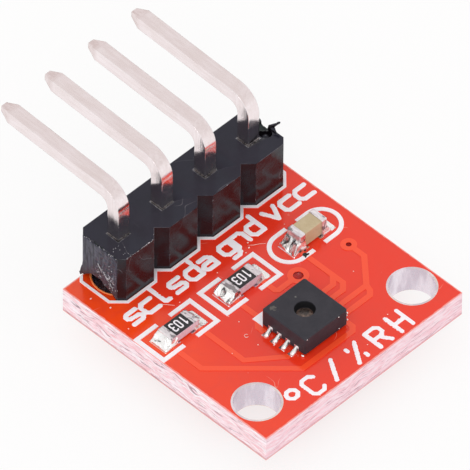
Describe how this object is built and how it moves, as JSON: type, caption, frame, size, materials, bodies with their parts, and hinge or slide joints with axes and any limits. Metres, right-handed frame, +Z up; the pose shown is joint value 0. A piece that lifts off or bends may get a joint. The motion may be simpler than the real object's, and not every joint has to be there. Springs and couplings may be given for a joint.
{
  "type": "temperature humidity sensor module",
  "caption": "Small square circuit board carrying a windowed temperature and humidity sensor chip, a bent-pin header along one edge and plated screw holes along the other.",
  "frame": {"origin": "centre of the board's underside", "axes": "+X along the pin row from the first pin to the fourth, +Y from the screw holes to the pin edge, +Z up through the component side"},
  "size_m": [0.0116, 0.0175, 0.0079],
  "materials": {
    "laminate": "sawn glass-epoxy, matt",
    "tinned_copper": "tinned, satin",
    "solder_mask": "smooth lacquer, semi-gloss",
    "white_print": "printed ink, matt",
    "header_plastic": "moulded, satin",
    "pin_metal": "tin plated brass, satin",
    "solder": "bright solder",
    "terminal_metal": "tinned, satin",
    "white_ceramic": "sintered, matt",
    "resistor_coating": "glassy coat",
    "tan_ceramic": "sintered, matt",
    "sensor_mould": "moulded, fine matt",
    "sensor_silicon": "polished chip"
  },
  "bodies": {
    "root": {"capacitor_body": "tan_ceramic", "capacitor_solder_left": "solder", "capacitor_solder_right": "solder", "capacitor_terminal_left": "terminal_metal", "capacitor_terminal_right": "terminal_metal", "copper_bottom": "tinned_copper", "copper_top": "tinned_copper", "header_housing": "header_plastic", "header_pin_1": "pin_metal", "header_pin_2": "pin_metal", "header_pin_3": "pin_metal", "header_pin_4": "pin_metal", "laminate": "laminate", "pin_barrel_1": "tinned_copper", "pin_barrel_2": "tinned_copper", "pin_barrel_3": "tinned_copper", "pin_barrel_4": "tinned_copper", "pin_solder_1": "solder", "pin_solder_2": "solder", "pin_solder_3": "solder", "pin_solder_4": "solder", "resistor_a_body": "white_ceramic", "resistor_a_coating": "resistor_coating", "resistor_a_solder_left": "solder", "resistor_a_solder_right": "solder", "resistor_a_terminal_left": "terminal_metal", "resistor_a_terminal_right": "terminal_metal", "resistor_b_body": "white_ceramic", "resistor_b_coating": "resistor_coating", "resistor_b_solder_left": "solder", "resistor_b_solder_right": "solder", "resistor_b_terminal_left": "terminal_metal", "resistor_b_terminal_right": "terminal_metal", "screw_lining_left": "tinned_copper", "screw_lining_right": "tinned_copper", "sensor_body": "sensor_mould", "sensor_die": "sensor_silicon", "sensor_leads": "terminal_metal", "sensor_solder": "solder", "solder_mask_bottom": "solder_mask", "solder_mask_top": "solder_mask", "via_barrel_first": "tinned_copper", "via_barrel_second": "tinned_copper", "white_outlines": "white_print"}
  },
  "joints": []
}
